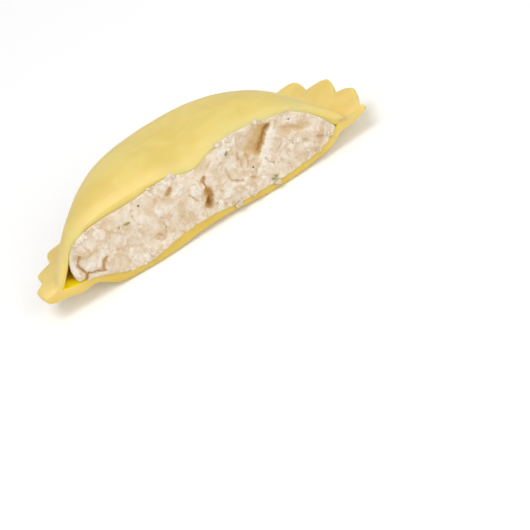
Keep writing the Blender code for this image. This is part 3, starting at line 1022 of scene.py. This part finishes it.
# Crumbs that lie over the dough's edge: middle x, z, spread in x and z, how many, their size
CLUSTERS = (
    (-7.2, 14.3, 0.8, 0.18, 5, 0.42),
    (-4.2, 14.6, 0.9, 0.15, 5, 0.40),
    (-2.6, 14.3, 0.5, 0.25, 6, 0.45),
    (-18.5, 14.0, 1.6, 0.15, 7, 0.30),
    (7.6, 14.8, 0.7, 0.20, 5, 0.42),
    (10.4, 15.1, 1.0, 0.15, 5, 0.40),
    (12.0, 14.7, 0.4, 0.25, 5, 0.38),
    (15.7, 14.1, 0.3, 0.30, 6, 0.45),
    (20.5, 13.2, 1.4, 0.15, 6, 0.32),
    (5.5, 1.9, 0.3, 0.15, 5, 0.40),
    (8.6, 2.4, 0.2, 0.30, 4, 0.48),
    (13.4, 1.6, 0.5, 0.18, 5, 0.58),
    (26.1, 4.3, 0.3, 0.20, 3, 0.50),
    (19.6, 7.4, 0.4, 0.30, 3, 0.45),
    (23.5, 3.0, 0.7, 0.25, 6, 0.34),
    (-15.5, 1.9, 2.0, 0.20, 8, 0.30),
    (-23.5, 12.8, 0.9, 0.35, 8, 0.36),
)
points, faces = scatter_crumbs()
# The crumbs hold a crest share of 0.55: plain cream, with the faintest painted highlight.
crumbs = make_piece("ricotta_crumbs", place(*points.T), faces, RICOTTA, {"crest_shading_and_streaks": np.full(len(points), 0.55)})
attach(crumbs, "root")


# %% Herb flecks and pepper: x, z, length, width, lean in degrees
HERB_TABLE = (
    (-14.0, 11.15, 1.35, 0.52, -4.0),
    (-15.6, 11.30, 0.60, 0.18, 28.0),
    (8.15, 12.75, 1.30, 0.42, 42.0),
    (13.60, 2.85, 1.35, 0.55, 12.0),
    (13.05, 1.60, 0.38, 0.32, 60.0),
    (13.70, 1.55, 0.40, 0.30, -50.0),
    (13.75, 8.95, 0.55, 0.22, 50.0),
)
PEPPER_TABLE = (
    (-10.5, 12.86, 0.36, 0.36, 10.0),
    (11.05, 7.10, 0.36, 0.30, 60.0),
    (21.10, 11.90, 0.28, 0.28, 0.0),
    (-8.20, 6.10, 0.24, 0.20, 30.0),
    (2.10, 4.60, 0.22, 0.20, 15.0),
)


def flakes(table, thickness, proud, seed):
    """A dented ball for each row, pressed flat, leant in the plane of the cut and laid on the face."""
    x, z, length, width, lean = np.array(table).T
    lean = np.radians(lean)
    shape = 0.5 * np.stack([length, np.full_like(x, thickness), width], axis=1)
    dents = np.stack([noise(*(BALL_POINTS.T * 1.6 + 5.0 * index), seed=seed) for index in range(len(x))])
    points = BALL_POINTS[None] * (1.0 + 0.35 * dents[:, :, None]) * shape[:, None, :]
    along, up = points[..., 0], points[..., 2]
    cos, sin = np.cos(lean)[:, None], np.sin(lean)[:, None]
    y = np.minimum(on_face(x, z), 0.1) - proud
    points = np.stack([x[:, None] + along * cos - up * sin, y[:, None] + points[..., 1], z[:, None] + along * sin + up * cos], -1)
    faces = BALL_FACES[None] + (len(BALL_POINTS) * np.arange(len(x)))[:, None, None]
    return points.reshape(-1, 3), faces.reshape(-1, 3)


for name, table, thickness, material in (
    ("herb_flecks", HERB_TABLE, 0.30, HERB),
    ("pepper_specks", PEPPER_TABLE, 0.30, PEPPER),
):
    points, faces = flakes(table, thickness, 0.06, 91)
    flecks = make_piece(name, place(*points.T), faces, material)
    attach(flecks, "root")

# %% [markdown]
# ## Floor, light and camera
# A pale floor takes the shadow. One large soft lamp stands above and to the left, a weaker one in front fills
# the cut face, and a white world lights the rest. The camera looks at the cut from 32 degrees above it. It is
# rolled by as much again, so the right end rises.

# %% Floor
CAMERA_RISE = math.radians(32.0)
CAMERA_ROLL = math.radians(31.95)


def make_floor():
    mesh = bpy.data.meshes.new("floor")
    reach = 4.0
    mesh.from_pydata([(-reach, -reach, 0), (reach, -reach, 0), (reach, reach, 0), (-reach, reach, 0)], [], [(0, 1, 2, 3)])
    material = bpy.data.materials.new("floor_white")
    material.use_nodes = True
    build = Nodes(material.node_tree)
    path = build.add("ShaderNodeLightPath")
    seen = build.math("MAXIMUM", path.outputs["Is Camera Ray"], path.outputs["Is Glossy Ray"])
    seen = build.math("MAXIMUM", seen, path.outputs["Is Transmission Ray"])
    shader = build.add(
        "ShaderNodeBsdfPrincipled",
        Base_Color=(0.92, 0.92, 0.92, 1.0),
        Roughness=0.8,
        Emission_Color=(1.0, 1.0, 1.0, 1.0),
        Emission_Strength=build.math("MULTIPLY", seen, 0.17),
    )
    finish_material(build, shader)
    mesh.materials.append(material)
    floor = bpy.data.objects.new("floor", mesh)
    bpy.context.scene.collection.objects.link(floor)
    return floor


floor = make_floor()


def area_lamp(name, place_at, size, power):
    lamp = bpy.data.lights.new(name, "AREA")
    lamp.shape = "DISK"
    lamp.size = size
    lamp.energy = power
    made = bpy.data.objects.new(name, lamp)
    made.location = place_at
    made.rotation_euler = (-Vector(place_at)).to_track_quat("-Z", "Y").to_euler()
    bpy.context.scene.collection.objects.link(made)
    return made


area_lamp("key_lamp", (-0.15, -0.2, 0.8), 0.55, 3.1)
area_lamp("fill_lamp", (0.42, -0.76, 0.48), 0.5, 2.6)


def make_world():
    """White at strength 1 where it is seen, and a weaker white as light."""
    world = bpy.data.worlds.new("studio")
    world.use_nodes = True
    build = Nodes(world.node_tree)
    path = build.add("ShaderNodeLightPath")
    seen = build.math("MAXIMUM", path.outputs["Is Camera Ray"], path.outputs["Is Glossy Ray"])
    seen = build.math("MAXIMUM", seen, path.outputs["Is Transmission Ray"])
    light = build.add("ShaderNodeBackground", Color=(1.0, 1.0, 1.0, 1.0), Strength=0.42)
    white = build.add("ShaderNodeBackground", Color=(1.0, 1.0, 1.0, 1.0), Strength=1.0)
    mixed = build.add("ShaderNodeMixShader", i0=seen, i1=light.outputs[0], i2=white.outputs[0])
    build.add("ShaderNodeOutputWorld", Surface=mixed.outputs[0])
    bpy.context.scene.world = world


make_world()


def make_camera():
    """Stands back along the line of sight from a point below and right of the piece's middle."""
    rise, roll = CAMERA_RISE, CAMERA_ROLL
    back = Vector((0.0, -math.cos(rise), math.sin(rise)))
    level_up = Vector((0.0, math.sin(rise), math.cos(rise)))
    right = math.cos(roll) * Vector((1.0, 0.0, 0.0)) - math.sin(roll) * level_up
    up = math.sin(roll) * Vector((1.0, 0.0, 0.0)) + math.cos(roll) * level_up
    foot = Vector(place(0.0, 0.0, 0.0)[0])
    target = foot + 8.54 * MM * right - 7.22 * MM * up
    camera = bpy.data.cameras.new("camera")
    camera.lens = 240.0
    camera.sensor_width = 36.0
    camera.clip_start = 0.01
    made = bpy.data.objects.new("camera", camera)
    turn = Matrix((right, up, back)).transposed().to_4x4()
    made.matrix_world = Matrix.Translation(target + 0.651 * back) @ turn
    bpy.context.scene.collection.objects.link(made)
    bpy.context.scene.camera = made


make_camera()
bpy.context.scene.view_settings.view_transform = "Standard"
